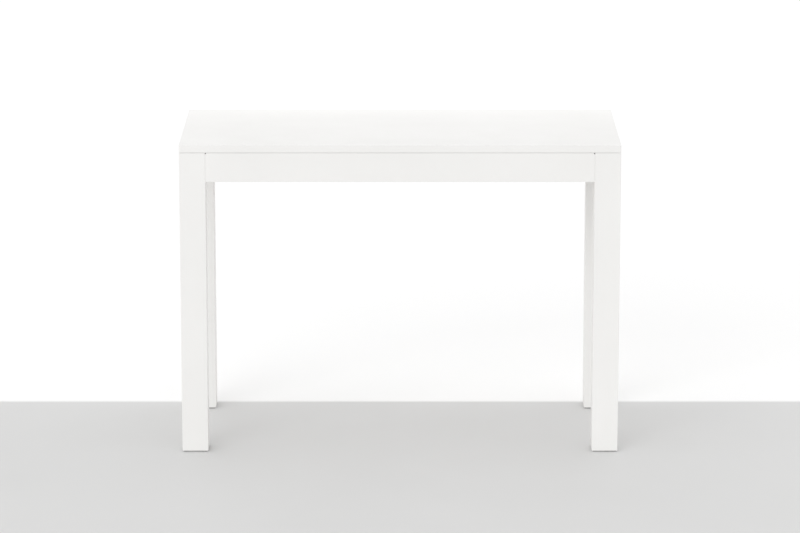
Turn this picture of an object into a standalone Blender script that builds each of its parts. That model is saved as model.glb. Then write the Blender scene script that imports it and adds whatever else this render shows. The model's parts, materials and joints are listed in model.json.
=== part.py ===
"""Extendable console table: the front legs and a nested second top pull forward on three-member runners.

Metres, +Z up. The front faces -Y, the wall is behind at +Y, and the origin is on the floor under the centre.
"""
import math

import bmesh
import bpy
from mathutils import Vector

# Overall sizes
TABLE_WIDTH = 1.080
TABLE_DEPTH = 0.480
TABLE_HEIGHT = 0.775

# Visible boards and posts
TOP_THICKNESS = 0.018
LEG_SIDE = 0.064
APRON_HEIGHT = 0.072
APRON_THICKNESS = 0.018
TOP_EDGE_ROUND = 0.0012
LEG_EDGE_ROUND = 0.0015
APRON_EDGE_ROUND = 0.0008

# Foot pads
PAD_HEIGHT = 0.003
PAD_INSET = 0.003
PAD_EDGE_ROUND = 0.0006

# Clearances
SEAT_GAP = 0.0003
SLIDE_GAP = 0.0009
SIDE_CLEARANCE = 0.001
CLOSING_GAP = 0.0015
BACK_CLEARANCE = 0.011

# Pull-out frame under the top panel
PULL_OUT_THICKNESS = 0.016
CARRIER_THICKNESS = 0.018
CARRIER_HEIGHT = 0.050
STRETCHER_THICKNESS = 0.018
RIB_THICKNESS = 0.018
HIDDEN_EDGE_ROUND = 0.0005

# Cleats and corner blocks
CLEAT_WIDTH = 0.012
CLEAT_HEIGHT = 0.015
CLEAT_END_GAP = 0.010
BLOCK_HEIGHT = 0.050
BLOCK_SETBACK = 0.002

# Glide strips and closing buffers
GLIDE_LENGTH = 0.300
GLIDE_WIDTH = 0.015
GLIDE_SETBACK = 0.035
GLIDE_END_GAP = 0.026
BUFFER_DIAMETER = 0.010
BUFFER_CHAMFER = 0.0002

# Dowels of the leg joints
DOWEL_DIAMETER = 0.008
DOWEL_LENGTH = 0.030
DOWEL_EDGE_DISTANCE = 0.013
DOWEL_CHAMFER = 0.001
PIN_SIDES = 12

# Three-member runners
RUNNER_HEIGHT = 0.045
RUNNER_THICKNESS = 0.0127
RUNNER_SHEET = 0.0012
RUNNER_LIP = 0.0023
RUNNER_GAP = 0.00035
RUNNER_DROP = 0.0055
RUNNER_END_GAP = 0.015
OUTER_SETBACK = 0.0052
MIDDLE_SETBACK = 0.0017

# Outer faces of the table
HALF_WIDTH = TABLE_WIDTH / 2
HALF_DEPTH = TABLE_DEPTH / 2

# Heights
TOP_UNDERSIDE = TABLE_HEIGHT - TOP_THICKNESS
FIXED_FRAME_TOP = TOP_UNDERSIDE - SEAT_GAP
CLEAT_BOTTOM = FIXED_FRAME_TOP - CLEAT_HEIGHT
RUNNER_LEVEL = CLEAT_BOTTOM - RUNNER_DROP - RUNNER_HEIGHT / 2
PULL_OUT_LEVEL = TOP_UNDERSIDE - SLIDE_GAP
PULL_OUT_UNDERSIDE = PULL_OUT_LEVEL - PULL_OUT_THICKNESS
CARRIER_TOP = PULL_OUT_UNDERSIDE - SEAT_GAP
CARRIER_BOTTOM = CARRIER_TOP - CARRIER_HEIGHT
APRON_BOTTOM = PULL_OUT_LEVEL - APRON_HEIGHT
APRON_LEVEL = PULL_OUT_LEVEL - APRON_HEIGHT / 2
LEG_BOTTOM = PAD_HEIGHT + SEAT_GAP

# Faces across the width, measured from the centre
LEG_INNER = HALF_WIDTH - LEG_SIDE
APRON_HALF = LEG_INNER - SEAT_GAP
SIDE_APRON_INNER = HALF_WIDTH - APRON_THICKNESS
SIDE_APRON_MIDDLE = HALF_WIDTH - APRON_THICKNESS / 2
RUNNER_BACK = SIDE_APRON_INNER - SEAT_GAP
RUNNER_MIDDLE = RUNNER_BACK - RUNNER_THICKNESS / 2
CARRIER_OUTER = RUNNER_BACK - RUNNER_THICKNESS - SEAT_GAP
CARRIER_INNER = CARRIER_OUTER - CARRIER_THICKNESS
CLEAT_OUTER = SIDE_APRON_INNER - SEAT_GAP
CLEAT_INNER = CLEAT_OUTER - CLEAT_WIDTH
PULL_OUT_HALF = CLEAT_INNER - SIDE_CLEARANCE

# Faces along the depth
FRONT_LEG_BACK = -HALF_DEPTH + LEG_SIDE
FRONT_APRON_BACK = -HALF_DEPTH + APRON_THICKNESS
REAR_LEG_FRONT = HALF_DEPTH - LEG_SIDE
REAR_APRON_FRONT = HALF_DEPTH - APRON_THICKNESS
SIDE_APRON_FRONT = FRONT_LEG_BACK + CLOSING_GAP
SIDE_APRON_BACK = REAR_LEG_FRONT - SEAT_GAP
PULL_OUT_FRONT = FRONT_APRON_BACK + SEAT_GAP
PULL_OUT_BACK = REAR_LEG_FRONT - BACK_CLEARANCE
STRETCHER_FRONT = PULL_OUT_BACK - STRETCHER_THICKNESS

# A corner block fills the angle between an apron and the side of a leg
BLOCK_SIDE = LEG_SIDE - APRON_THICKNESS - BLOCK_SETBACK

# How finely edges are rounded, and the angles past which an edge is rounded or stays sharp
EDGE_STEPS = 2
ROUNDED_PAST = math.radians(40)
SHARP_PAST = math.radians(30)

SIDES = (("left", -1), ("right", 1))


def clear_scene():
    for old in list(bpy.data.objects):
        bpy.data.objects.remove(old, do_unlink=True)


def make_material(name, colour, roughness, metallic=0.0):
    material = bpy.data.materials.new(name)
    material.use_nodes = True
    shader = material.node_tree.nodes["Principled BSDF"]
    shader.inputs["Base Color"].default_value = (*colour, 1.0)
    shader.inputs["Roughness"].default_value = roughness
    shader.inputs["Metallic"].default_value = metallic
    material.diffuse_color = (*colour, 1.0)
    return material


def make_body(name, place):
    """An empty that carries the pieces of one rigid body."""
    body = bpy.data.objects.new(name, None)
    body.location = place
    bpy.context.scene.collection.objects.link(body)
    return body


def add_piece(name, shape, place, body, material):
    """Turn a bmesh drawn about its own centre into an object carried by a body."""
    bmesh.ops.recalc_face_normals(shape, faces=shape.faces)
    mesh = bpy.data.meshes.new(name)
    shape.to_mesh(mesh)
    shape.free()
    mesh.materials.append(material)
    piece = bpy.data.objects.new(name, mesh)
    bpy.context.scene.collection.objects.link(piece)
    piece.parent = body
    piece.location = Vector(place) - body.location
    return piece


def round_edges(piece, width):
    bevel = piece.modifiers.new("edge_round", "BEVEL")
    bevel.width = width
    bevel.segments = EDGE_STEPS
    bevel.limit_method = "ANGLE"
    bevel.angle_limit = ROUNDED_PAST


def make_board(name, low, high, body, material, edge_round=None):
    """A board between two opposite corners, sharp-edged unless a rounding is given."""
    low = Vector(low)
    high = Vector(high)
    shape = bmesh.new()
    bmesh.ops.create_cube(shape, size=1.0)
    bmesh.ops.scale(shape, vec=high - low, verts=shape.verts)
    board = add_piece(name, shape, (low + high) / 2, body, material)
    if edge_round:
        round_edges(board, edge_round)
    return board


def make_prism(name, outline, sweep, body, material):
    """A closed outline of points, drawn at one end and swept in a straight line."""
    sweep = Vector(sweep)
    centre = sum((Vector(point) for point in outline), Vector()) / len(outline) + sweep / 2
    shape = bmesh.new()
    cap = shape.faces.new([shape.verts.new(Vector(point) - centre) for point in outline])
    grown = bmesh.ops.extrude_face_region(shape, geom=[cap])
    far_corners = [item for item in grown["geom"] if isinstance(item, bmesh.types.BMVert)]
    bmesh.ops.translate(shape, vec=sweep, verts=far_corners)
    return add_piece(name, shape, centre, body, material)


def span(side, inner, outer):
    """Low and high X of something between two distances from the centre, on one side."""
    return sorted((side * inner, side * outer))


def pin_ring(shape, along, reach, radius):
    """One ring of points about the X or Y axis, at this reach along it."""
    ring = []
    for step in range(PIN_SIDES):
        turn = 2 * math.pi * step / PIN_SIDES
        across = radius * math.cos(turn)
        up = radius * math.sin(turn)
        ring.append(shape.verts.new((reach, across, up) if along == "X" else (across, reach, up)))
    return ring


def make_pin(name, centre, along, diameter, length, chamfer, body, material):
    """A round pin with chamfered ends."""
    shape = bmesh.new()
    end = length / 2
    radius = diameter / 2
    tip = radius - chamfer
    profile = ((-end, tip), (chamfer - end, radius), (end - chamfer, radius), (end, tip))
    rings = [pin_ring(shape, along, reach, wide) for reach, wide in profile]
    for first, second in zip(rings, rings[1:]):
        for step in range(PIN_SIDES):
            after = (step + 1) % PIN_SIDES
            shape.faces.new((first[step], first[after], second[after], second[step]))
    shape.faces.new(rings[0])
    shape.faces.new(rings[-1])
    pin = add_piece(name, shape, centre, body, material)
    pin.data.shade_smooth()
    pin.data.set_sharp_from_angle(angle=SHARP_PAST)
    return pin


def bore_for_dowel(pieces, name, centre, along, body, material):
    """Drill the pieces for one dowel, with the seat gap all round it."""
    drill = make_pin(name, centre, along, DOWEL_DIAMETER + 2 * SEAT_GAP, DOWEL_LENGTH + 2 * SEAT_GAP,
                     DOWEL_CHAMFER, body, material)
    drill.hide_render = True
    drill.display_type = "WIRE"
    for piece in pieces:
        cut = piece.modifiers.new(name, "BOOLEAN")
        cut.operation = "DIFFERENCE"
        cut.solver = "EXACT"
        cut.object = drill


def join_with_dowels(name, centre, along, board_height, pieces, body, wood):
    """Two dowels, one above the other, across the joint between a leg and a board."""
    rise = board_height / 2 - DOWEL_EDGE_DISTANCE
    for label, offset in (("lower", -rise), ("upper", rise)):
        place = (centre[0], centre[1], centre[2] + offset)
        make_pin(f"{name}_{label}_dowel", place, along, DOWEL_DIAMETER, DOWEL_LENGTH,
                 DOWEL_CHAMFER, body, wood)
        bore_for_dowel(pieces, f"{name}_{label}_drill", place, along, body, wood)


def make_leg(name, side, front, top, body, white):
    low_x, high_x = span(side, LEG_INNER, HALF_WIDTH)
    low_y = -HALF_DEPTH if front else REAR_LEG_FRONT
    low = (low_x, low_y, LEG_BOTTOM)
    high = (high_x, low_y + LEG_SIDE, top)
    return make_board(name, low, high, body, white, LEG_EDGE_ROUND)


def make_foot_pad(name, side, front, body, felt):
    low_x, high_x = span(side, LEG_INNER + PAD_INSET, HALF_WIDTH - PAD_INSET)
    leg_front = -HALF_DEPTH if front else REAR_LEG_FRONT
    low = (low_x, leg_front + PAD_INSET, 0)
    high = (high_x, leg_front + LEG_SIDE - PAD_INSET, PAD_HEIGHT)
    make_board(name, low, high, body, felt, PAD_EDGE_ROUND)


def make_corner_block(name, side, front, top, body, wood):
    """A three-cornered block in the angle between an apron and the side of a leg."""
    corner_x = APRON_HALF
    corner_y = FRONT_APRON_BACK + SEAT_GAP if front else REAR_APRON_FRONT - SEAT_GAP
    tip_y = corner_y + BLOCK_SIDE if front else corner_y - BLOCK_SIDE
    plan = ((corner_x, corner_y), (corner_x - BLOCK_SIDE, corner_y), (corner_x, tip_y))
    outline = [(side * x, y, top - BLOCK_HEIGHT) for x, y in plan]
    block = make_prism(name, outline, (0, 0, BLOCK_HEIGHT), body, wood)
    round_edges(block, HIDDEN_EDGE_ROUND)


def make_top_panel(body, white):
    low = (-HALF_WIDTH, -HALF_DEPTH, TOP_UNDERSIDE)
    high = (HALF_WIDTH, HALF_DEPTH, TABLE_HEIGHT)
    make_board("top_panel", low, high, body, white, TOP_EDGE_ROUND)


def make_rear_apron(body, white):
    low = (-APRON_HALF, REAR_APRON_FRONT, APRON_BOTTOM)
    high = (APRON_HALF, HALF_DEPTH, FIXED_FRAME_TOP)
    return make_board("rear_apron", low, high, body, white, APRON_EDGE_ROUND)


def make_side_apron(label, side, body, white):
    low_x, high_x = span(side, SIDE_APRON_INNER, HALF_WIDTH)
    low = (low_x, SIDE_APRON_FRONT, APRON_BOTTOM)
    high = (high_x, SIDE_APRON_BACK, FIXED_FRAME_TOP)
    return make_board(f"{label}_side_apron", low, high, body, white, APRON_EDGE_ROUND)


def make_rear_cleat(body, wood):
    """The cleat along the rear apron, from one corner block to the other."""
    half = APRON_HALF - BLOCK_SIDE - CLEAT_END_GAP
    back = REAR_APRON_FRONT - SEAT_GAP
    low = (-half, back - CLEAT_WIDTH, CLEAT_BOTTOM)
    high = (half, back, FIXED_FRAME_TOP)
    make_board("rear_top_cleat", low, high, body, wood, HIDDEN_EDGE_ROUND)


def make_side_cleat(label, side, body, wood):
    low_x, high_x = span(side, CLEAT_INNER, CLEAT_OUTER)
    low = (low_x, SIDE_APRON_FRONT + CLEAT_END_GAP, CLEAT_BOTTOM)
    high = (high_x, SIDE_APRON_BACK - CLEAT_END_GAP, FIXED_FRAME_TOP)
    make_board(f"{label}_top_cleat", low, high, body, wood, HIDDEN_EDGE_ROUND)


def make_glide_strip(label, side, body, nylon):
    """A strip of thin glide tape under the front of the top panel, which the pull-out top slides along."""
    outer_end = APRON_HALF - GLIDE_END_GAP
    low_x, high_x = span(side, outer_end - GLIDE_LENGTH, outer_end)
    front = -HALF_DEPTH + GLIDE_SETBACK
    low = (low_x, front, PULL_OUT_LEVEL + SEAT_GAP)
    high = (high_x, front + GLIDE_WIDTH, TOP_UNDERSIDE - SEAT_GAP)
    make_board(f"{label}_glide_strip", low, high, body, nylon)


def make_closing_buffer(label, side, body, felt):
    """A thin round buffer on the front end of a side apron, which stops the closing leg."""
    centre = (side * SIDE_APRON_MIDDLE, FRONT_LEG_BACK + CLOSING_GAP / 2, APRON_LEVEL)
    thickness = CLOSING_GAP - 2 * SEAT_GAP
    make_pin(f"{label}_closing_buffer", centre, "Y", BUFFER_DIAMETER, thickness, BUFFER_CHAMFER, body, felt)


def outer_member_outline():
    """Upper half of a lipped channel: distance from the side apron, height over the centre line."""
    reach = RUNNER_THICKNESS - OUTER_SETBACK
    lip = reach - RUNNER_SHEET
    top = RUNNER_HEIGHT / 2
    inside = top - RUNNER_SHEET
    mouth = inside - RUNNER_LIP
    return [(0, top), (reach, top), (reach, mouth), (lip, mouth), (lip, inside), (RUNNER_SHEET, inside)]


def middle_member_outline():
    """Upper half of a lipped channel with a fin that rides behind the lip of the outer member."""
    outer_lip = RUNNER_THICKNESS - OUTER_SETBACK - RUNNER_SHEET
    outer_inside = RUNNER_HEIGHT / 2 - RUNNER_SHEET
    fin_front = outer_lip - RUNNER_GAP
    fin_back = fin_front - RUNNER_SHEET
    fin_tip = outer_inside - RUNNER_GAP
    back = RUNNER_SHEET + RUNNER_GAP
    reach = RUNNER_THICKNESS - MIDDLE_SETBACK
    lip = reach - RUNNER_SHEET
    top = outer_inside - RUNNER_LIP - RUNNER_GAP
    inside = top - RUNNER_SHEET
    mouth = inside - RUNNER_LIP
    fin = [(fin_back, top), (fin_back, fin_tip), (fin_front, fin_tip), (fin_front, top)]
    channel = [(reach, top), (reach, mouth), (lip, mouth), (lip, inside), (back + RUNNER_SHEET, inside)]
    return [(back, top)] + fin + channel


def inner_member_outline():
    """Upper half of a hat section on the carrier rail, its brim behind the lip of the middle member."""
    middle_lip = RUNNER_THICKNESS - MIDDLE_SETBACK - RUNNER_SHEET
    middle_inside = RUNNER_HEIGHT / 2 - 2 * RUNNER_SHEET - RUNNER_LIP - RUNNER_GAP
    brim_front = middle_lip - RUNNER_GAP
    brim_back = brim_front - RUNNER_SHEET
    brim_tip = middle_inside - RUNNER_GAP
    top = brim_tip - RUNNER_LIP
    inside = top - RUNNER_SHEET
    web = RUNNER_THICKNESS - RUNNER_SHEET
    brim = [(brim_front, top), (brim_front, brim_tip), (brim_back, brim_tip), (brim_back, inside)]
    return [(RUNNER_THICKNESS, top)] + brim + [(web, inside)]


def make_runner_member(name, upper, side, body, steel):
    """A rolled member along a side apron, mirrored about the runner's centre line."""
    front = SIDE_APRON_FRONT + RUNNER_END_GAP
    back = SIDE_APRON_BACK - RUNNER_END_GAP
    section = upper + [(reach, -height) for reach, height in reversed(upper)]
    outline = [(side * (RUNNER_BACK - reach), front, RUNNER_LEVEL + height) for reach, height in section]
    make_prism(name, outline, (0, back - front, 0), body, steel)


def make_front_apron(body, white):
    low = (-APRON_HALF, -HALF_DEPTH, APRON_BOTTOM)
    high = (APRON_HALF, FRONT_APRON_BACK, PULL_OUT_LEVEL)
    return make_board("front_apron", low, high, body, white, APRON_EDGE_ROUND)


def make_pull_out_top(body, white):
    """The nested second top, notched at its front corners to pass between the legs."""
    notch = FRONT_LEG_BACK + SEAT_GAP
    right = [(APRON_HALF, PULL_OUT_FRONT), (APRON_HALF, notch), (PULL_OUT_HALF, notch)]
    right += [(PULL_OUT_HALF, PULL_OUT_BACK)]
    plan = right + [(-x, y) for x, y in reversed(right)]
    outline = [(x, y, PULL_OUT_UNDERSIDE) for x, y in plan]
    top = make_prism("pull_out_top", outline, (0, 0, PULL_OUT_THICKNESS), body, white)
    round_edges(top, HIDDEN_EDGE_ROUND)


def make_carrier_rail(label, side, body, white):
    """A rail behind a front leg, finished as the legs are because it shows when the table is open."""
    low_x, high_x = span(side, CARRIER_INNER, CARRIER_OUTER)
    low = (low_x, FRONT_LEG_BACK + SEAT_GAP, CARRIER_BOTTOM)
    high = (high_x, PULL_OUT_BACK, CARRIER_TOP)
    return make_board(f"{label}_carrier_rail", low, high, body, white, HIDDEN_EDGE_ROUND)


def make_back_stretcher(body, wood):
    half = CARRIER_INNER - SEAT_GAP
    low = (-half, STRETCHER_FRONT, CARRIER_BOTTOM)
    high = (half, PULL_OUT_BACK, CARRIER_TOP)
    make_board("back_stretcher", low, high, body, wood, HIDDEN_EDGE_ROUND)


def make_centre_rib(body, wood):
    low = (-RIB_THICKNESS / 2, PULL_OUT_FRONT, CARRIER_BOTTOM)
    high = (RIB_THICKNESS / 2, STRETCHER_FRONT - SEAT_GAP, CARRIER_TOP)
    make_board("centre_rib", low, high, body, wood, HIDDEN_EDGE_ROUND)


def make_fixed_frame(white, wood, steel, nylon, felt):
    """What stays against the wall: the top panel on the rear legs and three aprons."""
    body = make_body("fixed_frame", (0, 0, 0))
    make_top_panel(body, white)
    make_rear_cleat(body, wood)
    rear_apron = make_rear_apron(body, white)
    for label, side in SIDES:
        leg = make_leg(f"rear_{label}_leg", side, False, FIXED_FRAME_TOP, body, white)
        make_foot_pad(f"rear_{label}_foot_pad", side, False, body, felt)
        make_corner_block(f"rear_{label}_corner_block", side, False, FIXED_FRAME_TOP, body, wood)
        side_apron = make_side_apron(label, side, body, white)
        make_side_cleat(label, side, body, wood)
        make_glide_strip(label, side, body, nylon)
        make_closing_buffer(label, side, body, felt)
        make_runner_member(f"{label}_runner_outer", outer_member_outline(), side, body, steel)
        rear_joint = (side * LEG_INNER, HALF_DEPTH - APRON_THICKNESS / 2, APRON_LEVEL)
        join_with_dowels(f"rear_{label}_apron", rear_joint, "X", APRON_HEIGHT, (leg, rear_apron), body, wood)
        side_joint = (side * SIDE_APRON_MIDDLE, REAR_LEG_FRONT, APRON_LEVEL)
        join_with_dowels(f"{label}_side_apron", side_joint, "Y", APRON_HEIGHT, (leg, side_apron), body, wood)


def make_pull_out_frame(white, wood, steel, felt):
    """What slides forward: the front legs and apron, the pull-out top and what carries it."""
    body = make_body("pull_out_frame", (0, 0, RUNNER_LEVEL))
    make_pull_out_top(body, white)
    make_back_stretcher(body, wood)
    make_centre_rib(body, wood)
    front_apron = make_front_apron(body, white)
    for label, side in SIDES:
        leg = make_leg(f"front_{label}_leg", side, True, PULL_OUT_LEVEL, body, white)
        make_foot_pad(f"front_{label}_foot_pad", side, True, body, felt)
        make_corner_block(f"front_{label}_corner_block", side, True, CARRIER_TOP, body, wood)
        carrier = make_carrier_rail(label, side, body, white)
        make_runner_member(f"{label}_runner_inner", inner_member_outline(), side, body, steel)
        apron_joint = (side * LEG_INNER, -HALF_DEPTH + APRON_THICKNESS / 2, APRON_LEVEL)
        join_with_dowels(f"front_{label}_apron", apron_joint, "X", APRON_HEIGHT,
                         (leg, front_apron), body, wood)
        carrier_middle = side * (CARRIER_OUTER - CARRIER_THICKNESS / 2)
        carrier_joint = (carrier_middle, FRONT_LEG_BACK, CARRIER_TOP - CARRIER_HEIGHT / 2)
        join_with_dowels(f"{label}_carrier_rail", carrier_joint, "Y", CARRIER_HEIGHT,
                         (leg, carrier), body, wood)


def make_runner_middles(steel):
    """The middle member of each runner, which follows the pull-out frame at half its travel."""
    for label, side in SIDES:
        body = make_body(f"{label}_runner_slide", (side * RUNNER_MIDDLE, 0, RUNNER_LEVEL))
        make_runner_member(f"{label}_runner_middle", middle_member_outline(), side, body, steel)


def main():
    clear_scene()
    white = make_material("white_melamine", (0.86, 0.85, 0.83), 0.42)
    wood = make_material("beech", (0.62, 0.43, 0.26), 0.60)
    steel = make_material("zinc_plated_steel", (0.62, 0.63, 0.64), 0.35, metallic=1.0)
    nylon = make_material("natural_nylon", (0.82, 0.80, 0.74), 0.50)
    felt = make_material("grey_felt", (0.43, 0.43, 0.42), 0.95)
    make_fixed_frame(white, wood, steel, nylon, felt)
    make_pull_out_frame(white, wood, steel, felt)
    make_runner_middles(steel)


main()
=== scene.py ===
"""Looks of the extendable console table: white boards, beech blocks, rolled steel runners, screws and felt.

Metres, +Z up, front at -Y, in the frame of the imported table.
"""

import json
import math

import bpy
from mathutils import Matrix, Vector


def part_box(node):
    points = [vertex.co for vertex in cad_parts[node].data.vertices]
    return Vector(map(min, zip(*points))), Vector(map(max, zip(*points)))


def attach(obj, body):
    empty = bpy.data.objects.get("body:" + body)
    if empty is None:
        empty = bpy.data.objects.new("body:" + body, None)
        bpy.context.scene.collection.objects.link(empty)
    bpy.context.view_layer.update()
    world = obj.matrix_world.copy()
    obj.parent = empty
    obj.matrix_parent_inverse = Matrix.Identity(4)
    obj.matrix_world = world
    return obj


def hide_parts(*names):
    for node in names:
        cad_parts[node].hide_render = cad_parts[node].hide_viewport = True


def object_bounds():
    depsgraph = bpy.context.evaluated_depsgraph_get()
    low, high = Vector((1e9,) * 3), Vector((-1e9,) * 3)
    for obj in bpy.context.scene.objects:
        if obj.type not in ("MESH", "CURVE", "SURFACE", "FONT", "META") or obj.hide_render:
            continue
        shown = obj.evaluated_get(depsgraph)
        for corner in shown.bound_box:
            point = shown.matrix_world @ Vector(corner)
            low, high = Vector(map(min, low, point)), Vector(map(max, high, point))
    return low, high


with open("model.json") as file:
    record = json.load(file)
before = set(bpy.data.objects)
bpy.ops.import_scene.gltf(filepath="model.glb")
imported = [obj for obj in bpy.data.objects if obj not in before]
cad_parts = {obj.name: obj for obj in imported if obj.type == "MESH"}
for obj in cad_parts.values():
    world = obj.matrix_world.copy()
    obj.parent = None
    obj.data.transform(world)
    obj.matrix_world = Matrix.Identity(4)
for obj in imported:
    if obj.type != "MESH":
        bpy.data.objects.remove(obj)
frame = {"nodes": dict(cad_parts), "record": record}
cad_low, cad_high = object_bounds()

# What the record says of each piece
BODY_OF = {node: body for body, nodes in frame["record"]["behaviour"]["bodies"].items() for node in nodes}

# Sides and ends of the table, and ways along it
SIDES = {"left": -1, "right": 1}
ENDS = ("front", "rear")
LEVELS = ("lower", "upper")
AXIS_INDEX = {"X": 0, "Y": 1, "Z": 2}
UP = Vector((0, 0, 1))
DOWN = Vector((0, 0, -1))
ALONG_WIDTH = Vector((1, 0, 0))
ALONG_DEPTH = Vector((0, 1, 0))

# Rounding of boards and posts: at the corners of their outline and at their two ends
CORNER_STEPS = 4
LEAST_RADIUS = 0.00005
TOP_CORNER = 0.0020
TOP_EDGE = 0.0004
LEG_CORNER = 0.0010
LEG_END = 0.0006
APRON_CORNER = 0.0006
APRON_EDGE = 0.0004
EASED_WIDTH = 0.0028
EASED_HEIGHT = 0.0045
GLUED_END = 0.0003
BATTEN_CORNER = 0.0010
BATTEN_END = 0.0005
PAD_CORNER = 0.0030
PAD_EDGE = 0.0006
GLIDE_CORNER = 0.0001
BUFFER_SIDES = 32
BUFFER_EDGE = 0.0002

# An edge that turns further than this stays sharp
SHARP_PAST = math.radians(35)

# Seam between a board's face and the band glued round its edges
BAND_THICKNESS = 0.0013
SEAM_WIDTH = 0.00025
SEAM_DEPTH = 0.00015

# Clearance of seats and of dowels in their bores, and the line where a glued board meets a leg
SEAT_GAP = 0.0003
GLUE_LINE = 0.00002

# Gap under the top, and the pieces that run in it
RUNNING_GAP = 0.00055
RUNS_UNDER_TOP = ("front_left_leg", "front_right_leg", "front_apron")

# Rolled steel runner, as distances from the side apron and from its centre line
RUNNER_SHEET = 0.0012
RUNNER_LIP = 0.0023
RUNNER_GAP = 0.00035
RUNNER_BEND = 0.0003
RUNNER_END = 0.0002

# Slots pressed through the webs of the runners; the end radius is a share of the width, just under half
SLOTS_IN_MEMBER = 4
SLOT_LENGTH = 0.024
SLOT_WIDTH = 0.0065
SLOT_CUT_DEPTH = 0.006
SLOT_PITCH = 0.068
SLOT_END_STEPS = 5
SLOT_END_RADIUS = 0.498
CUTTER_MERGE = 0.000001

# Bearing balls between the outer and the middle member
BALL_DIAMETER = 0.0025
BALL_PITCH = 0.0092
BALLS_IN_ROW = 15
BALL_ROW_START = 0.012
BALL_SUBDIVISIONS = 2

# Wood screws
SCREW_DIAMETER = 0.0072
SCREW_RISE = 0.0007
SCREW_FLUSH_RISE = 0.0001
SCREW_SIDES = 24
SCREW_TURN_SEED = 7
BLOCK_SCREWS = 2
LONG_BATTEN_SCREWS = 6
SHORT_BATTEN_SCREWS = 3
RUNNER_SCREWS = 3

# Shape of a screw head, as shares of its diameter
HEAD_FLAT_RADIUS = 0.43
SHANK_RADIUS = 0.25
SINK_DEPTH = 0.3
RECESS_LENGTH = 0.56
RECESS_WIDTH = 0.11
RECESS_DEPTH = 0.28

# Levels between which most of a noise pattern lies
NOISE_LEVELS = (0.3, 0.7)

# Satin white melamine
WHITE_TONES = ((0.828, 0.822, 0.807), (0.858, 0.852, 0.838))
WHITE_CLOUDS = {"scale": 3.0, "detail": 3.0}
WHITE_SHEEN = {"scale": 14.0}
WHITE_ROUGHNESS = (0.36, 0.46)
WHITE_PEARL = {"scale": 800.0, "detail": 1.5}
WHITE_RELIEF = {"Distance": 0.00016, "Strength": 1.0}

# Beech, with the stretch of its patterns along and across the grain
BEECH_TONES = ((0.53, 0.335, 0.185), (0.66, 0.455, 0.275))
BEECH_BANDS = {"scale": 2.2, "detail": 4.0}
BEECH_BAND_STRETCH = (0.8, 22.0)
BEECH_FLECK_TONE = (0.36, 0.20, 0.10)
BEECH_FLECKS = {"scale": 7.0, "detail": 2.0, "roughness": 0.4}
BEECH_FLECK_STRETCH = (16.0, 130.0)
BEECH_FLECK_LEVELS = (0.60, 0.74)
BEECH_FLECK_SHARE = 0.5
BEECH_ROUGHNESS = (0.50, 0.68)
BEECH_RELIEF = {"Distance": 0.00008, "Strength": 0.35}

# Zinc plated steel
ZINC_TONES = ((0.56, 0.57, 0.585), (0.70, 0.71, 0.72))
ZINC_CLOUDS = {"scale": 55.0, "detail": 4.0}
ZINC_LINES = {"scale": 8.0, "detail": 3.0}
ZINC_LINE_STRETCH = (160.0, 3.0, 160.0)
ZINC_ROUGHNESS = (0.24, 0.42)
ZINC_RELIEF = {"Distance": 0.00002, "Strength": 0.3}

# Natural nylon
NYLON_TONES = ((0.77, 0.745, 0.68), (0.83, 0.81, 0.755))
NYLON_CLOUDS = {"scale": 40.0, "detail": 3.0}
NYLON_ROUGHNESS = (0.40, 0.52)
NYLON_GRAIN = {"scale": 1200.0}
NYLON_RELIEF = {"Distance": 0.00004, "Strength": 0.3}

# Grey felt
FELT_TONES = ((0.36, 0.358, 0.352), (0.50, 0.497, 0.49))
FELT_FIBRES = {"scale": 1600.0, "detail": 4.0, "roughness": 0.7}
FELT_ROUGHNESS = (0.88, 1.0)
FELT_SHEEN = 0.35
FELT_SHEEN_ROUGHNESS = 0.6
FELT_RELIEF = {"Distance": 0.0003, "Strength": 0.8}

# Studio floor: pale grey under the table, white and faintly lit from a line just behind it
FLOOR_SIZE = 60.0
FLOOR_TONES = ((0.69, 0.69, 0.687), (0.715, 0.715, 0.712))
FLOOR_CLOUDS = {"scale": 1.3, "detail": 3.0}
FLOOR_ROUGHNESS = 0.75
BACKDROP_WHITE = (0.98, 0.98, 0.98)
BACKDROP_GLOW = 0.03
BLACK = (0.0, 0.0, 0.0)
WHITE_LIGHT = (1.0, 1.0, 1.0)
WHITE_LINE_SETBACK = 0.010
WHITE_LINE_BLUR = 0.012

# Soft studio light: the sky, a broad key from the front and a card over the back of the table
SKY_STRENGTH = 0.935
KEY_FROM = Vector((-0.42, -0.84, 0.34))
KEY_SPREAD = math.radians(40)
KEY_STRENGTH = 0.77
BOUNCE_PLACE = Vector((0, 0.31, 0.95))
BOUNCE_AIM = Vector((0, 0.22, 0.775))
BOUNCE_WIDTH = 1.5
BOUNCE_HEIGHT = 0.15
BOUNCE_POWER = 0.36

# Camera at the photograph's viewing angle
CAMERA_AIM = Vector((0, 0, 0.418))
CAMERA_DISTANCE = 9.57
CAMERA_ELEVATION = math.radians(12.82)
CAMERA_LENS = 170.8
CAMERA_SENSOR = 36.0


def make_object(name, data):
    piece = bpy.data.objects.new(name, data)
    bpy.context.scene.collection.objects.link(piece)
    return piece


def add_node(tree, kind, inputs=None, **settings):
    """A node with its settings; an input is a value, another node's output or a list of such outputs."""
    node = tree.nodes.new(kind)
    for name, value in settings.items():
        setattr(node, name, value)
    for name, value in (inputs or {}).items():
        if isinstance(value, bpy.types.NodeSocket):
            tree.links.new(value, node.inputs[name])
        elif isinstance(value, list):
            for output in value:
                tree.links.new(output, node.inputs[name])
        else:
            node.inputs[name].default_value = value
    return node


def output_of(tree, kind, inputs=None, **settings):
    """The first output of a new node."""
    return add_node(tree, kind, inputs, **settings).outputs[0]


# Finishes


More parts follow.
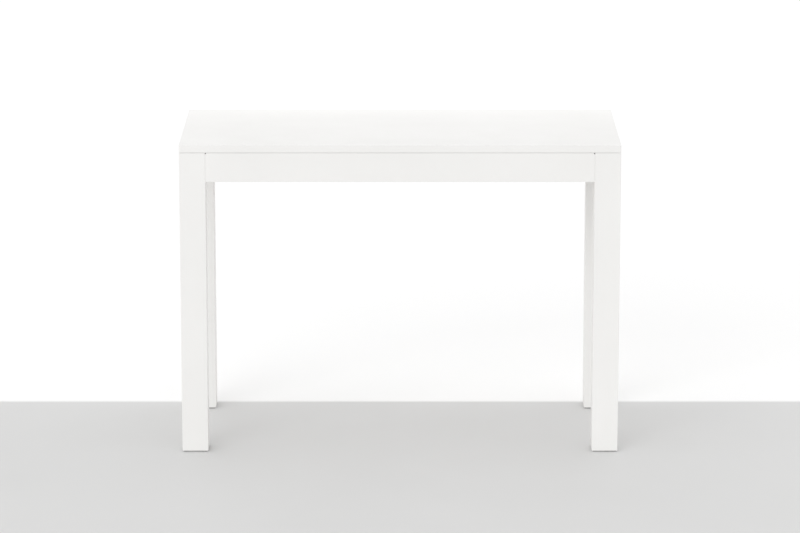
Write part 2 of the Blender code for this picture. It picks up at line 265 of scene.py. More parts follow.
def new_finish(name):
    """An empty material with its shader and its object coordinates."""
    material = bpy.data.materials.new(name)
    material.use_nodes = True
    tree = material.node_tree
    shader = tree.nodes["Principled BSDF"]
    place = add_node(tree, "ShaderNodeTexCoord").outputs["Object"]
    return material, tree, shader, place


def stretched(tree, place, scale):
    """Object coordinates stretched along the axes."""
    return output_of(tree, "ShaderNodeMapping", {"Vector": place, "Scale": scale})


def noise(tree, place, scale, detail=2.0, roughness=0.5):
    """A noise pattern, its scale in waves per metre."""
    inputs = {"Vector": place, "Scale": scale, "Detail": detail, "Roughness": roughness}
    return add_node(tree, "ShaderNodeTexNoise", inputs).outputs["Fac"]


def spread(tree, value, low=0.0, high=1.0, levels=NOISE_LEVELS):
    """A value between two levels, laid out from low to high."""
    start, end = levels
    inputs = {"Value": value, "From Min": start, "From Max": end, "To Min": low, "To Max": high}
    return output_of(tree, "ShaderNodeMapRange", inputs)


def mix_colours(tree, share, first, second):
    """One colour going over into another; each is a colour or the output of a node."""
    mix = add_node(tree, "ShaderNodeMix", {"Factor": share}, data_type="RGBA")
    for name, colour in (("A", first), ("B", second)):
        socket = next(item for item in mix.inputs if item.name == name and item.type == "RGBA")
        if isinstance(colour, tuple):
            socket.default_value = (*colour, 1.0)
        else:
            tree.links.new(colour, socket)
    return next(item for item in mix.outputs if item.type == "RGBA")


def coat(tree, shader, tone, roughness, height, relief):
    """Give a shader its tone, its roughness and its relief."""
    tree.links.new(tone, shader.inputs["Base Color"])
    tree.links.new(roughness, shader.inputs["Roughness"])
    bump = output_of(tree, "ShaderNodeBump", {"Height": height, **relief})
    tree.links.new(bump, shader.inputs["Normal"])


def make_white_melamine():
    """Satin white board with a faint pearl texture and hardly any change of tone."""
    material, tree, shader, place = new_finish("satin_white_melamine")
    clouds = noise(tree, place, **WHITE_CLOUDS)
    sheen = noise(tree, place, **WHITE_SHEEN)
    pearl = noise(tree, place, **WHITE_PEARL)
    tone = mix_colours(tree, spread(tree, clouds), *WHITE_TONES)
    coat(tree, shader, tone, spread(tree, sheen, *WHITE_ROUGHNESS), pearl, WHITE_RELIEF)
    return material


def along_grain(grain, along, across):
    """The stretch of a pattern that differs along and across the grain."""
    return tuple(along if axis == grain else across for axis in AXIS_INDEX)


def make_beech(grain):
    """Plain sanded beech, its grain along one axis, with the short dark flecks of the wood."""
    material, tree, shader, place = new_finish(f"beech_along_{grain.lower()}")
    bands = noise(tree, stretched(tree, place, along_grain(grain, *BEECH_BAND_STRETCH)), **BEECH_BANDS)
    flecks = noise(tree, stretched(tree, place, along_grain(grain, *BEECH_FLECK_STRETCH)), **BEECH_FLECKS)
    wood = mix_colours(tree, spread(tree, bands), *BEECH_TONES)
    fleck_share = spread(tree, flecks, 0.0, BEECH_FLECK_SHARE, BEECH_FLECK_LEVELS)
    tone = mix_colours(tree, fleck_share, wood, BEECH_FLECK_TONE)
    coat(tree, shader, tone, spread(tree, flecks, *BEECH_ROUGHNESS), flecks, BEECH_RELIEF)
    return material


def make_zinc_steel():
    """Zinc plated sheet steel, with faint rolling lines along the runners."""
    material, tree, shader, place = new_finish("zinc_plated_steel")
    shader.inputs["Metallic"].default_value = 1.0
    lines = noise(tree, stretched(tree, place, ZINC_LINE_STRETCH), **ZINC_LINES)
    clouds = noise(tree, place, **ZINC_CLOUDS)
    tone = mix_colours(tree, spread(tree, clouds), *ZINC_TONES)
    coat(tree, shader, tone, spread(tree, lines, *ZINC_ROUGHNESS), lines, ZINC_RELIEF)
    return material


def make_natural_nylon():
    """Slightly waxy off-white nylon."""
    material, tree, shader, place = new_finish("natural_nylon")
    clouds = noise(tree, place, **NYLON_CLOUDS)
    grain = noise(tree, place, **NYLON_GRAIN)
    tone = mix_colours(tree, spread(tree, clouds), *NYLON_TONES)
    coat(tree, shader, tone, spread(tree, clouds, *NYLON_ROUGHNESS), grain, NYLON_RELIEF)
    return material


def make_grey_felt():
    """Dense grey felt, its fibres in all directions."""
    material, tree, shader, place = new_finish("grey_felt")
    shader.inputs["Sheen Weight"].default_value = FELT_SHEEN
    shader.inputs["Sheen Roughness"].default_value = FELT_SHEEN_ROUGHNESS
    fibres = noise(tree, place, **FELT_FIBRES)
    tone = mix_colours(tree, spread(tree, fibres), *FELT_TONES)
    coat(tree, shader, tone, spread(tree, fibres, *FELT_ROUGHNESS), fibres, FELT_RELIEF)
    return material


def make_studio_floor(white_line):
    """A pale grey floor that turns white along a line across its depth."""
    material, tree, shader, place = new_finish("studio_floor")
    depth = add_node(tree, "ShaderNodeSeparateXYZ", {"Vector": place}).outputs["Y"]
    behind = spread(tree, depth, levels=(white_line - WHITE_LINE_BLUR, white_line + WHITE_LINE_BLUR))
    grey = mix_colours(tree, spread(tree, noise(tree, place, **FLOOR_CLOUDS)), *FLOOR_TONES)
    tree.links.new(mix_colours(tree, behind, grey, BACKDROP_WHITE), shader.inputs["Base Color"])
    tree.links.new(mix_colours(tree, behind, BLACK, WHITE_LIGHT), shader.inputs["Emission Color"])
    shader.inputs["Emission Strength"].default_value = BACKDROP_GLOW
    shader.inputs["Roughness"].default_value = FLOOR_ROUGHNESS
    return material


WHITE = make_white_melamine()
BEECH = {grain: make_beech(grain) for grain in AXIS_INDEX}
STEEL = make_zinc_steel()
NYLON = make_natural_nylon()
FELT = make_grey_felt()


# Lofted boards


def inset_corner(before, here, after, inset):
    """A corner of an outline moved inwards by the same distance from both its edges."""
    first = (here - before).normalized()
    second = (after - here).normalized()
    first_normal = Vector((-first.y, first.x))
    second_normal = Vector((-second.y, second.x))
    return here + (first_normal + second_normal) * (inset / (1 + first_normal.dot(second_normal)))


def round_corner(before, here, after, radius):
    """Points of the arc that rounds one corner of an outline."""
    back = (before - here).normalized()
    onward = (after - here).normalized()
    half_angle = back.angle(onward) / 2
    start = here + back * (radius / math.tan(half_angle))
    centre = here + (back + onward).normalized() * (radius / math.sin(half_angle))
    turn = math.pi - 2 * half_angle
    if onward.cross(back) < 0:
        turn = -turn
    spoke = start - centre
    turns = [turn * step / CORNER_STEPS for step in range(CORNER_STEPS + 1)]
    return [centre + Matrix.Rotation(angle, 2) @ spoke for angle in turns]


def rounded_outline(outline, inset, radius):
    """A closed outline, counter-clockwise, moved inwards and rounded at each corner."""
    count = len(outline)
    moved = [inset_corner(outline[i - 1], here, outline[(i + 1) % count], inset)
             for i, here in enumerate(outline)]
    points = []
    for i, here in enumerate(moved):
        before = moved[i - 1]
        after = moved[(i + 1) % count]
        hollow = (after - here).cross(before - here) < 0
        corner = radius + inset if hollow else max(radius - inset, LEAST_RADIUS)
        points += round_corner(before, here, after, corner)
    return points


def end_profile(edge, seam):
    """Inset and depth of the rings at one end, from its flat face to its full size."""
    profile = []
    if seam:
        groove = BAND_THICKNESS + SEAM_WIDTH
        profile = [(groove, 0), (BAND_THICKNESS + SEAM_WIDTH / 2, SEAM_DEPTH), (BAND_THICKNESS, 0)]
    for step in range(CORNER_STEPS + 1):
        turn = math.pi / 2 * step / CORNER_STEPS
        profile.append((edge * (1 - math.sin(turn)), edge * (1 - math.cos(turn))))
    return profile


def turned_to(axis, across, up, along):
    """A point given across, up and along an axis, in the table's own axes."""
    if axis == "X":
        return Vector((along, across, up))
    if axis == "Y":
        return Vector((up, along, across))
    return Vector((across, up, along))


def loft(name, outline, axis, ends, corner, edge, seam=False):
    """A closed solid along an axis, its section a rounded outline, its two ends softly edged."""
    first, last = ends
    profile = end_profile(edge, seam)
    levels = [(inset, first + depth) for inset, depth in profile]
    levels += [(inset, last - depth) for inset, depth in reversed(profile)]
    rings = [[turned_to(axis, point.x, point.y, along) for point in rounded_outline(outline, inset, corner)]
             for inset, along in levels]
    count = len(rings[0])
    points = [point for ring in rings for point in ring]
    faces = [list(reversed(range(count)))]
    for level in range(len(rings) - 1):
        low = level * count
        high = low + count
        faces += [(low + i, low + (i + 1) % count, high + (i + 1) % count, high + i) for i in range(count)]
    faces.append(list(range(len(points) - count, len(points))))
    mesh = bpy.data.meshes.new(name)
    mesh.from_pydata(points, [], faces)
    return make_object(name, mesh)


def box_of(node):
    """A board's box, drawn up to the running gap where the board slides under the top."""
    low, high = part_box(node)
    if node in RUNS_UNDER_TOP:
        high.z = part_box("top_panel")[0].z - RUNNING_GAP
    return low, high


def make_board(node, axis, corner, edge, seam=False, glued_to=None):
    """A board along an axis in the place of its node, one end drawn up to the leg that it is glued to."""
    low, high = box_of(node)
    along = AXIS_INDEX[axis]
    across = (along + 1) % 3
    up = (along + 2) % 3
    if glued_to:
        leg_low, leg_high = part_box(glued_to)
        if leg_high[along] < (low[along] + high[along]) / 2:
            low[along] = leg_high[along] + GLUE_LINE
        else:
            high[along] = leg_low[along] - GLUE_LINE
    corners = ((low[across], low[up]), (high[across], low[up]),
               (high[across], high[up]), (low[across], high[up]))
    outline = [Vector(point) for point in corners]
    return loft(f"finished_{node}", outline, axis, (low[along], high[along]), corner, edge, seam)


def make_long_apron(end):
    """The front or rear apron, drawn up to its two legs and eased at its upper corners."""
    node = f"{end}_apron"
    low, high = box_of(node)
    low.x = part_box(f"{end}_left_leg")[1].x + GLUE_LINE
    high.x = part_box(f"{end}_right_leg")[0].x - GLUE_LINE
    eased = high.z - EASED_HEIGHT
    left = [(low.z, low.x), (eased, low.x), (high.z, low.x + EASED_WIDTH)]
    right = [(high.z, high.x - EASED_WIDTH), (eased, high.x), (low.z, high.x)]
    outline = [Vector(point) for point in left + right]
    return loft(f"finished_{node}", outline, "Y", (low.y, high.y), GLUED_END, APRON_EDGE)


def make_pull_out_top():
    """The second top, notched at its front corners to pass between the legs."""
    low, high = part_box("pull_out_top")
    notch_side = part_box("front_apron")[1].x
    notch_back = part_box("front_right_leg")[1].y + SEAT_GAP
    right = [(notch_side, low.y), (notch_side, notch_back), (high.x, notch_back), (high.x, high.y)]
    outline = [Vector(point) for point in right + [(-x, y) for x, y in reversed(right)]]
    return loft("finished_pull_out_top", outline, "Z", (low.z, high.z), APRON_CORNER, BATTEN_END, seam=True)


def make_corner_block(node, side, front):
    """A three-cornered block in the angle between an apron and a leg."""
    low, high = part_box(node)
    corner_x = high.x if side > 0 else low.x
    tip_x = low.x if side > 0 else high.x
    corner_y = low.y if front else high.y
    tip_y = high.y if front else low.y
    plan = [Vector((corner_x, corner_y)), Vector((tip_x, corner_y)), Vector((corner_x, tip_y))]
    if signed_area(plan) < 0:
        plan.reverse()
    return loft(f"finished_{node}", plan, "Z", (low.z, high.z), BATTEN_END, BATTEN_END)


def make_buffer(node):
    """A thin round felt dot on the front end of a side apron."""
    low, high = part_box(node)
    centre = (low + high) / 2
    radius = (high.z - low.z) / 2
    turns = [2 * math.pi * step / BUFFER_SIDES for step in range(BUFFER_SIDES)]
    outline = [Vector((centre.z + radius * math.cos(turn), centre.x + radius * math.sin(turn)))
               for turn in turns]
    return loft(f"finished_{node}", outline, "Y", (low.y, high.y), LEAST_RADIUS, BUFFER_EDGE)


def signed_area(outline):
    """The area inside an outline, below zero where it runs clockwise."""
    return sum(outline[i - 1].cross(here) for i, here in enumerate(outline)) / 2


# Geometry node trees for what repeats


def new_tree(name, sockets):
    """An empty geometry node tree and its named inputs, with the finish as the last of them."""
    tree = bpy.data.node_groups.new(name, "GeometryNodeTree")
    for label, kind in {"Geometry": "Geometry", **sockets, "Finish": "Material"}.items():
        tree.interface.new_socket(name=label, in_out="INPUT", socket_type=f"NodeSocket{kind}")
    tree.interface.new_socket(name="Geometry", in_out="OUTPUT", socket_type="NodeSocketGeometry")
    return tree, add_node(tree, "NodeGroupInput").outputs


def end_tree(tree, entry, geometry):
    """Make the instances real, give them their finish and close the tree."""
    real = output_of(tree, "GeometryNodeRealizeInstances", {"Geometry": geometry})
    finished = output_of(tree, "GeometryNodeSetMaterial", {"Geometry": real, "Material": entry["Finish"]})
    add_node(tree, "NodeGroupOutput", {"Geometry": finished})
    return tree


def stored_turn(tree):
    """The turn that each point carries."""
    turn = output_of(tree, "GeometryNodeInputNamedAttribute", {"Name": "turn"}, data_type="FLOAT_VECTOR")
    return output_of(tree, "FunctionNodeEulerToRotation", {"Euler": turn})


def scaled(tree, value, factor):
    return output_of(tree, "ShaderNodeMath", {0: value, 1: factor}, operation="MULTIPLY")


def vector_of(tree, **parts):
    """A vector whose X, Y and Z are outputs of nodes, or zero."""
    return output_of(tree, "ShaderNodeCombineXYZ", parts)


def moved_up(tree, geometry, rise):
    """A shape moved along its own Z."""
    inputs = {"Geometry": geometry, "Translation": vector_of(tree, Z=rise)}
    return output_of(tree, "GeometryNodeTransform", inputs)


def make_slot_tree():
    """Cuts slots at the points of another object; as long as wide, they are round bores."""
    sizes = {"Slot Length": "Float", "Slot Width": "Float", "Cut Depth": "Float"}
    tree, entry = new_tree("cut_slots", {"Cut Points": "Object", **sizes})
    outline = output_of(tree, "GeometryNodeCurvePrimitiveQuadrilateral",
                        {"Width": entry["Slot Length"], "Height": entry["Slot Width"]})
    ends = {"Curve": outline, "Count": SLOT_END_STEPS, "Limit Radius": True,
            "Radius": scaled(tree, entry["Slot Width"], SLOT_END_RADIUS)}
    rounded = output_of(tree, "GeometryNodeFilletCurve", ends, mode="POLY")
    face = output_of(tree, "GeometryNodeFillCurve", {"Curve": rounded}, mode="NGONS")
    swept = output_of(tree, "GeometryNodeExtrudeMesh",
                      {"Mesh": face, "Offset Scale": entry["Cut Depth"], "Individual": False})
    base = output_of(tree, "GeometryNodeFlipFaces", {"Mesh": face})
    both = output_of(tree, "GeometryNodeJoinGeometry", {"Geometry": [swept, base]})
    closed = output_of(tree, "GeometryNodeMergeByDistance", {"Geometry": both, "Distance": CUTTER_MERGE})
    cutter = moved_up(tree, closed, scaled(tree, entry["Cut Depth"], -0.5))
    places = add_node(tree, "GeometryNodeObjectInfo", {"Object": entry["Cut Points"]}).outputs["Geometry"]
    cutters = output_of(tree, "GeometryNodeInstanceOnPoints",
                        {"Points": places, "Instance": cutter, "Rotation": stored_turn(tree)})
    real = output_of(tree, "GeometryNodeRealizeInstances", {"Geometry": cutters})
    cut = output_of(tree, "GeometryNodeMeshBoolean", {"Mesh 1": entry["Geometry"], "Mesh 2": real},
                    operation="DIFFERENCE", solver="EXACT")
    return end_tree(tree, entry, cut)


def make_cone(tree, top, bottom, depth):
    """A blunt cone from the level of its bottom up."""
    sizes = {"Radius Top": top, "Radius Bottom": bottom, "Depth": depth}
    return output_of(tree, "GeometryNodeMeshCone", {"Vertices": SCREW_SIDES, "Side Segments": 1, **sizes})


def make_screw_tree():
    """Countersunk heads with a cross recess, one at each point, turned by chance about their own axes."""
    tree, entry = new_tree("screw_heads", {"Diameter": "Float", "Rise": "Float", "Turn Seed": "Int"})
    diameter = entry["Diameter"]
    rise = entry["Rise"]
    rim = scaled(tree, diameter, 0.5)
    head = make_cone(tree, scaled(tree, diameter, HEAD_FLAT_RADIUS), rim, rise)
    shank = make_cone(tree, rim, scaled(tree, diameter, SHANK_RADIUS), scaled(tree, diameter, SINK_DEPTH))
    sunk = moved_up(tree, shank, scaled(tree, diameter, -SINK_DEPTH))
    whole = output_of(tree, "GeometryNodeMeshBoolean", {"Mesh 2": [head, sunk]},
                      operation="UNION", solver="EXACT")
    blades = []
    for length, width in ((RECESS_LENGTH, RECESS_WIDTH), (RECESS_WIDTH, RECESS_LENGTH)):
        size = vector_of(tree, X=scaled(tree, diameter, length), Y=scaled(tree, diameter, width),
                         Z=scaled(tree, diameter, RECESS_DEPTH))
        blade = output_of(tree, "GeometryNodeMeshCube", {"Size": size})
        blades.append(moved_up(tree, blade, rise))
    screw = output_of(tree, "GeometryNodeMeshBoolean", {"Mesh 1": whole, "Mesh 2": blades},
                      operation="DIFFERENCE", solver="EXACT")
    chance = add_node(tree, "FunctionNodeRandomValue", {"Seed": entry["Turn Seed"]}, data_type="FLOAT")
    half_turn = vector_of(tree, Z=scaled(tree, chance.outputs[1], math.pi))
    spin = output_of(tree, "FunctionNodeEulerToRotation", {"Euler": half_turn})
    turned = output_of(tree, "FunctionNodeRotateRotation",
                       {"Rotation": stored_turn(tree), "Rotate By": spin}, rotation_space="LOCAL")
    heads = output_of(tree, "GeometryNodeInstanceOnPoints",
                      {"Points": entry["Geometry"], "Instance": screw, "Rotation": turned})
    return end_tree(tree, entry, heads)


def make_ball_tree():
    """A row of bearing balls along the depth from each point."""
    tree, entry = new_tree("ball_rows", {"Balls": "Int", "Pitch": "Float", "Diameter": "Float"})
    row = output_of(tree, "GeometryNodeMeshLine",
                    {"Count": entry["Balls"], "Offset": vector_of(tree, Y=entry["Pitch"])})
    ball = output_of(tree, "GeometryNodeMeshIcoSphere",
                     {"Radius": scaled(tree, entry["Diameter"], 0.5), "Subdivisions": BALL_SUBDIVISIONS})
    strung = output_of(tree, "GeometryNodeInstanceOnPoints", {"Points": row, "Instance": ball})
    rows = output_of(tree, "GeometryNodeInstanceOnPoints",
                     {"Points": entry["Geometry"], "Instance": strung})
    return end_tree(tree, entry, rows)


SLOT_TREE = make_slot_tree()
SCREW_TREE = make_screw_tree()
BALL_TREE = make_ball_tree()


def run_tree(piece, tree, values):
    """Run a tree on a piece and keep the result as the piece's own plain mesh."""
    modifier = piece.modifiers.new(tree.name, "NODES")
    modifier.node_group = tree
    for socket in tree.interface.items_tree:
        if socket.in_out == "INPUT" and socket.name in values:
            modifier[socket.identifier] = values[socket.name]
    depsgraph = bpy.context.evaluated_depsgraph_get()
    mesh = bpy.data.meshes.new_from_object(piece.evaluated_get(depsgraph), depsgraph=depsgraph)
    piece.modifiers.remove(modifier)
    piece.data = mesh


def turn_to(facing, along):
    """The turn that brings +Z to a facing and +X along the piece."""
    facing = Vector(facing).normalized()
    along = Vector(along).normalized()
    return Matrix((along, facing.cross(along), facing)).transposed().to_euler()


def make_points(name, places):
    """A mesh of single points; each place is a point, a facing and the way along the piece."""
    mesh = bpy.data.meshes.new(name)
    mesh.from_pydata([point for point, facing, along in places], [], [])
    turns = mesh.attributes.new("turn", "FLOAT_VECTOR", "POINT")
    for item, (point, facing, along) in zip(turns.data, places):
        item.vector = turn_to(facing, along)
    return make_object(name, mesh)


def cut_slots(piece, places, length, width, depth, finish):
    """Cut slots or bores through a piece, centred on the given places."""
    points = make_points(f"{piece.name}_cuts", places)
    sizes = {"Slot Length": length, "Slot Width": width, "Cut Depth": depth}
    run_tree(piece, SLOT_TREE, {"Cut Points": points, **sizes, "Finish": finish})
    bpy.data.objects.remove(points, do_unlink=True)


# Fitting pieces to the frame


def shade(piece):
    """Smooth over the rounded edges, with flat faces kept flat."""
    piece.data.shade_smooth()
    piece.data.set_sharp_from_angle(angle=SHARP_PAST)
    normals = piece.modifiers.new("flat_faces", "WEIGHTED_NORMAL")
    normals.keep_sharp = True


def fit(piece, node, finish):
    """Put a finished piece in the place of its node."""
    piece.data.materials.clear()
    piece.data.materials.append(finish)
    shade(piece)
    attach(piece, BODY_OF[node])
    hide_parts(node)


def list_dowel_joints():
    """The leg and the board that each pair of dowels joins."""
    joints = {}
    for label in SIDES:
        joints[f"front_{label}_apron"] = (f"front_{label}_leg", "front_apron")
        joints[f"rear_{label}_apron"] = (f"rear_{label}_leg", "rear_apron")
        joints[f"{label}_side_apron"] = (f"rear_{label}_leg", f"{label}_side_apron")
        joints[f"{label}_carrier_rail"] = (f"front_{label}_leg", f"{label}_carrier_rail")
    return joints


DOWEL_JOINTS = list_dowel_joints()


def dowel_axis(dowel):
    """The axis that a dowel lies along."""
    low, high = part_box(dowel)
    return "X" if high.x - low.x > high.y - low.y else "Y"


def bore_for_dowels(piece, board):
    """Drill a white board for its dowels, with the seat gap all round them."""
    joints = [joint for joint, boards in DOWEL_JOINTS.items() if board in boards]
    places = []
    for dowel in [f"{joint}_{level}_dowel" for joint in joints for level in LEVELS]:
        low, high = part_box(dowel)
        facing = ALONG_WIDTH if dowel_axis(dowel) == "X" else ALONG_DEPTH
        places.append(((low + high) / 2, facing, UP))
        diameter = min(high - low) + 2 * SEAT_GAP
        depth = max(high - low) + 2 * SEAT_GAP
    cut_slots(piece, places, diameter, diameter, depth, WHITE)


def fit_bored(piece, node):
    """Drill a white board for its dowels and put it in the place of its node."""
    bore_for_dowels(piece, node)
    fit(piece, node, WHITE)


def dress_white_boards():
    """The top, the pull-out top, the aprons, the legs and the carrier rails."""
    fit(make_board("top_panel", "Z", TOP_CORNER, TOP_EDGE, seam=True), "top_panel", WHITE)
    fit(make_pull_out_top(), "pull_out_top", WHITE)
    for end in ENDS:
        fit_bored(make_long_apron(end), f"{end}_apron")
    for leg in [f"{end}_{label}_leg" for end in ENDS for label in SIDES]:
        fit_bored(make_board(leg, "Z", LEG_CORNER, LEG_END), leg)
    for label in SIDES:
        glued = {f"{label}_side_apron": f"rear_{label}_leg", f"{label}_carrier_rail": f"front_{label}_leg"}
        for node, leg in glued.items():
            fit_bored(make_board(node, "Y", APRON_CORNER, GLUED_END, glued_to=leg), node)


def dress_battens():
    """Beech stretcher, rib and cleats, and the dowels inside the joints."""
    battens = {"back_stretcher": "X", "rear_top_cleat": "X", "centre_rib": "Y"}
    battens |= {f"{label}_top_cleat": "Y" for label in SIDES}
    for node, axis in battens.items():
        fit(make_board(node, axis, BATTEN_CORNER, BATTEN_END), node, BEECH[axis])
    for dowel in [f"{joint}_{level}_dowel" for joint in DOWEL_JOINTS for level in LEVELS]:
        frame["nodes"][dowel].material_slots[0].material = BEECH[dowel_axis(dowel)]


def dress_corner_blocks():
    """Beech blocks behind the four legs."""
    for end in ENDS:
        for label, side in SIDES.items():
            node = f"{end}_{label}_corner_block"
            fit(make_corner_block(node, side, end == "front"), node, BEECH["Z"])


def dress_pads_and_glides():
    """Felt under the legs and on the closing buffers, nylon under the top."""
    for label in SIDES:
        for end in ENDS:
            node = f"{end}_{label}_foot_pad"
            fit(make_board(node, "Z", PAD_CORNER, PAD_EDGE), node, FELT)
        glide = f"{label}_glide_strip"
        fit(make_board(glide, "X", GLIDE_CORNER, GLIDE_CORNER), glide, NYLON)
        buffer = f"{label}_closing_buffer"
        fit(make_buffer(buffer), buffer, FELT)


# Runners


def channel_half(back, reach, top):
    """Upper half of a lipped channel, from its back to the inside of its web."""
    inside = top - RUNNER_SHEET
    mouth = inside - RUNNER_LIP
    lip = reach - RUNNER_SHEET
    return [(back, top), (reach, top), (reach, mouth), (lip, mouth), (lip, inside),
            (back + RUNNER_SHEET, inside)]


def member_halves(label):
    """Upper halves of a runner's three sections: distance from the side apron, height over the centre."""
    outer_low, outer_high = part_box(f"{label}_runner_outer")
    middle_low, middle_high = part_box(f"{label}_runner_middle")
    inner_low, inner_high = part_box(f"{label}_runner_inner")
    apron_side = max(outer_high.x, -outer_low.x)
    outer_reach = outer_high.x - outer_low.x
    outer_top = (outer_high.z - outer_low.z) / 2
    middle_reach = apron_side - min(abs(middle_low.x), abs(middle_high.x))
    inner_reach = apron_side - min(abs(inner_low.x), abs(inner_high.x))
    outer = channel_half(0, outer_reach, outer_top)
    fin_front = outer_reach - RUNNER_SHEET - RUNNER_GAP
    fin_tip = (middle_high.z - middle_low.z) / 2
    middle_top = outer_top - RUNNER_SHEET - RUNNER_LIP - RUNNER_GAP
    middle = channel_half(RUNNER_SHEET + RUNNER_GAP, middle_reach, middle_top)
    fin_back = fin_front - RUNNER_SHEET
    fin = [(fin_back, middle_top), (fin_back, fin_tip), (fin_front, fin_tip), (fin_front, middle_top)]
    middle[1:1] = fin
    brim_front = middle_reach - RUNNER_SHEET - RUNNER_GAP
    brim_back = brim_front - RUNNER_SHEET
    brim_tip = (inner_high.z - inner_low.z) / 2
    hat_top = brim_tip - RUNNER_LIP
    hat_inside = hat_top - RUNNER_SHEET
    inner = [(inner_reach, hat_top), (brim_front, hat_top), (brim_front, brim_tip), (brim_back, brim_tip),
             (brim_back, hat_inside), (inner_reach - RUNNER_SHEET, hat_inside)]
    return {"outer": outer, "middle": middle, "inner": inner}, apron_side


def along_web(label, member, count):
    """Points along the web of a runner member, one slot pitch apart."""
    low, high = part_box(f"{label}_runner_{member}")
    level = (low.z + high.z) / 2
    middle = (low.y + high.y) / 2
    halves, apron_side = member_halves(label)
    web = SIDES[label] * (apron_side - halves[member][-1][0])
    steps = [step - (count - 1) / 2 for step in range(count)]
    return [Vector((web, middle + step * SLOT_PITCH, level)) for step in steps]


def make_runner_member(label, member):
    """A rolled member, with slots pressed through its web."""
    node = f"{label}_runner_{member}"
    low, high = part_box(node)
    level = (low.z + high.z) / 2
    halves, apron_side = member_halves(label)
    section = halves[member] + [(reach, -height) for reach, height in reversed(halves[member])]
    outline = [Vector((level + height, SIDES[label] * (apron_side - reach))) for reach, height in section]
    if signed_area(outline) < 0:
        outline.reverse()
    piece = loft(f"finished_{node}", outline, "Y", (low.y, high.y), RUNNER_BEND, RUNNER_END)
    places = [(point, ALONG_WIDTH, ALONG_DEPTH) for point in along_web(label, member, SLOTS_IN_MEMBER)]
    cut_slots(piece, places, SLOT_LENGTH, SLOT_WIDTH, SLOT_CUT_DEPTH, STEEL)
    return piece


def dress_runners():
    """The three members of each runner."""
    for label in SIDES:
        for member in ("outer", "middle", "inner"):
            fit(make_runner_member(label, member), f"{label}_runner_{member}", STEEL)


def add_bearing_balls():
    """Balls between the flanges of the outer and the middle member, carried by the middle one."""
    for label, side in SIDES.items():
        outer_low, outer_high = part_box(f"{label}_runner_outer")
        middle_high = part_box(f"{label}_runner_middle")[1]
        level = (outer_low.z + outer_high.z) / 2
        apron_side = max(outer_high.x, -outer_low.x)
        flange = (outer_high.z - outer_low.z) / 2 - RUNNER_SHEET
        race = flange - (RUNNER_LIP + RUNNER_GAP) / 2
        fin_back = outer_high.x - outer_low.x - 2 * RUNNER_SHEET - RUNNER_GAP
        x = side * (apron_side - (RUNNER_SHEET + fin_back) / 2)
        y = middle_high.y - BALL_ROW_START - (BALLS_IN_ROW - 1) * BALL_PITCH
        rows = [(Vector((x, y, level + way * race)), UP, ALONG_WIDTH) for way in (-1, 1)]
        balls = make_points(f"{label}_bearing_balls", rows)
        values = {"Balls": BALLS_IN_ROW, "Pitch": BALL_PITCH, "Diameter": BALL_DIAMETER, "Finish": STEEL}
        run_tree(balls, BALL_TREE, values)
        balls.data.shade_smooth()
        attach(balls, BODY_OF[f"{label}_runner_middle"])


# Screws


def spaced(low, high, count):
    """Evenly spread places between two ends, half a space in from each."""
    return [low + (high - low) * (step + 0.5) / count for step in range(count)]


def block_screws(end):
    """Screws through the slant faces of the two corner blocks at one end."""
    places = []
    for label, side in SIDES.items():
        low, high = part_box(f"{end}_{label}_corner_block")
        out = Vector((-side, 1 if end == "front" else -1, 0)).normalized()
        slant = Vector(((low.x + high.x) / 2, (low.y + high.y) / 2, 0))
        places += [(slant + UP * z, out, UP) for z in spaced(low.z, high.z, BLOCK_SCREWS)]
    return places


def under_screws(node, axis, count):
    """Screws up through the underside of a batten."""
    low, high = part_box(node)
    middle = (low + high) / 2
    along = AXIS_INDEX[axis]
    places = []
    for reach in spaced(low[along], high[along], count):
        point = Vector((middle.x, middle.y, low.z))
        point[along] = reach
        places.append((point, DOWN, ALONG_WIDTH))
    return places


def runner_screws(label, member, facing):
    """Screws through the web of a runner member, between its slots."""
    return [(point, facing, UP) for point in along_web(label, member, RUNNER_SCREWS)]


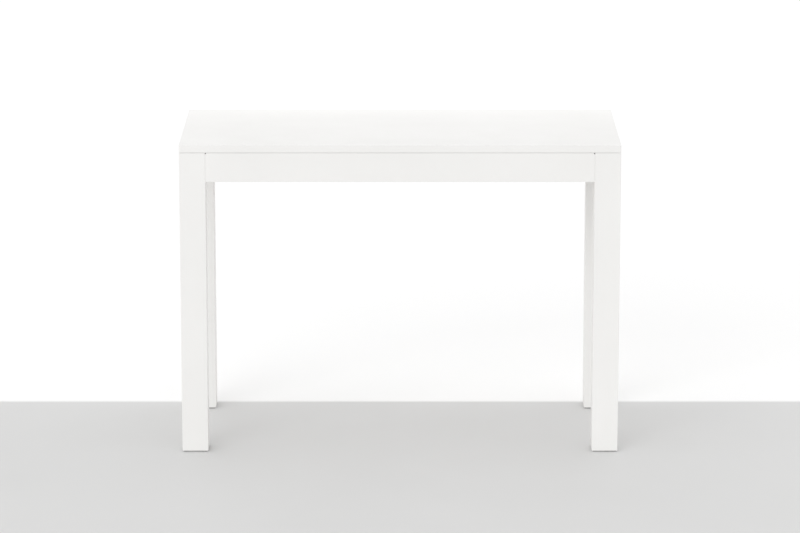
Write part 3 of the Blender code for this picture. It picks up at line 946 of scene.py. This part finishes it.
def add_screws():
    """Screw heads of each body: through cleats, blocks, battens and runners."""
    fixed = block_screws("rear") + under_screws("rear_top_cleat", "X", LONG_BATTEN_SCREWS)
    pulled = block_screws("front") + under_screws("back_stretcher", "X", LONG_BATTEN_SCREWS)
    pulled += under_screws("centre_rib", "Y", SHORT_BATTEN_SCREWS)
    flush = []
    for label, side in SIDES.items():
        fixed += under_screws(f"{label}_top_cleat", "Y", SHORT_BATTEN_SCREWS)
        pulled += runner_screws(label, "inner", Vector((side, 0, 0)))
        flush += runner_screws(label, "outer", Vector((-side, 0, 0)))
    heads = (("fixed_frame_screws", "fixed_frame", fixed, SCREW_RISE),
             ("runner_fixing_screws", "fixed_frame", flush, SCREW_FLUSH_RISE),
             ("pull_out_screws", "pull_out_frame", pulled, SCREW_RISE))
    for name, body, places, rise in heads:
        screws = make_points(name, places)
        values = {"Diameter": SCREW_DIAMETER, "Rise": rise, "Turn Seed": SCREW_TURN_SEED, "Finish": STEEL}
        run_tree(screws, SCREW_TREE, values)
        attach(screws, body)


# Studio


def aim(thing, target):
    """Turn a light or the camera towards a point."""
    thing.rotation_euler = (target - thing.location).to_track_quat("-Z", "Y").to_euler()


def add_light(name, kind, place, target, **settings):
    light = bpy.data.lights.new(name, kind)
    for setting, value in settings.items():
        setattr(light, setting, value)
    lamp = make_object(name, light)
    lamp.location = place
    aim(lamp, target)
    return lamp


def build_studio():
    """The floor, the even white sky and the two soft lights."""
    half = FLOOR_SIZE / 2
    mesh = bpy.data.meshes.new("studio_floor")
    corners = [(-half, -half, 0), (half, -half, 0), (half, half, 0), (-half, half, 0)]
    mesh.from_pydata(corners, [], [(0, 1, 2, 3)])
    mesh.materials.append(make_studio_floor(cad_high.y + WHITE_LINE_SETBACK))
    make_object("studio_floor", mesh)
    world = bpy.data.worlds.new("studio")
    world.use_nodes = True
    sky = world.node_tree.nodes["Background"]
    sky.inputs["Color"].default_value = (*WHITE_LIGHT, 1.0)
    sky.inputs["Strength"].default_value = SKY_STRENGTH
    bpy.context.scene.world = world
    add_light("soft_key", "SUN", KEY_FROM, Vector(), angle=KEY_SPREAD, energy=KEY_STRENGTH)
    card = add_light("back_card", "AREA", BOUNCE_PLACE, BOUNCE_AIM, shape="RECTANGLE",
                     size=BOUNCE_WIDTH, size_y=BOUNCE_HEIGHT, energy=BOUNCE_POWER)
    card.visible_camera = False
    bpy.context.scene.view_settings.view_transform = "Standard"


def place_camera():
    """The camera in front of the table and a little above it."""
    data = bpy.data.cameras.new("photo_view")
    data.lens = CAMERA_LENS
    data.sensor_width = CAMERA_SENSOR
    camera = make_object("photo_view", data)
    back = Vector((0, -math.cos(CAMERA_ELEVATION), math.sin(CAMERA_ELEVATION)))
    camera.location = CAMERA_AIM + back * CAMERA_DISTANCE
    aim(camera, CAMERA_AIM)
    bpy.context.scene.camera = camera


dress_white_boards()
dress_battens()
dress_corner_blocks()
dress_pads_and_glides()
dress_runners()
add_bearing_balls()
add_screws()
build_studio()
place_camera()
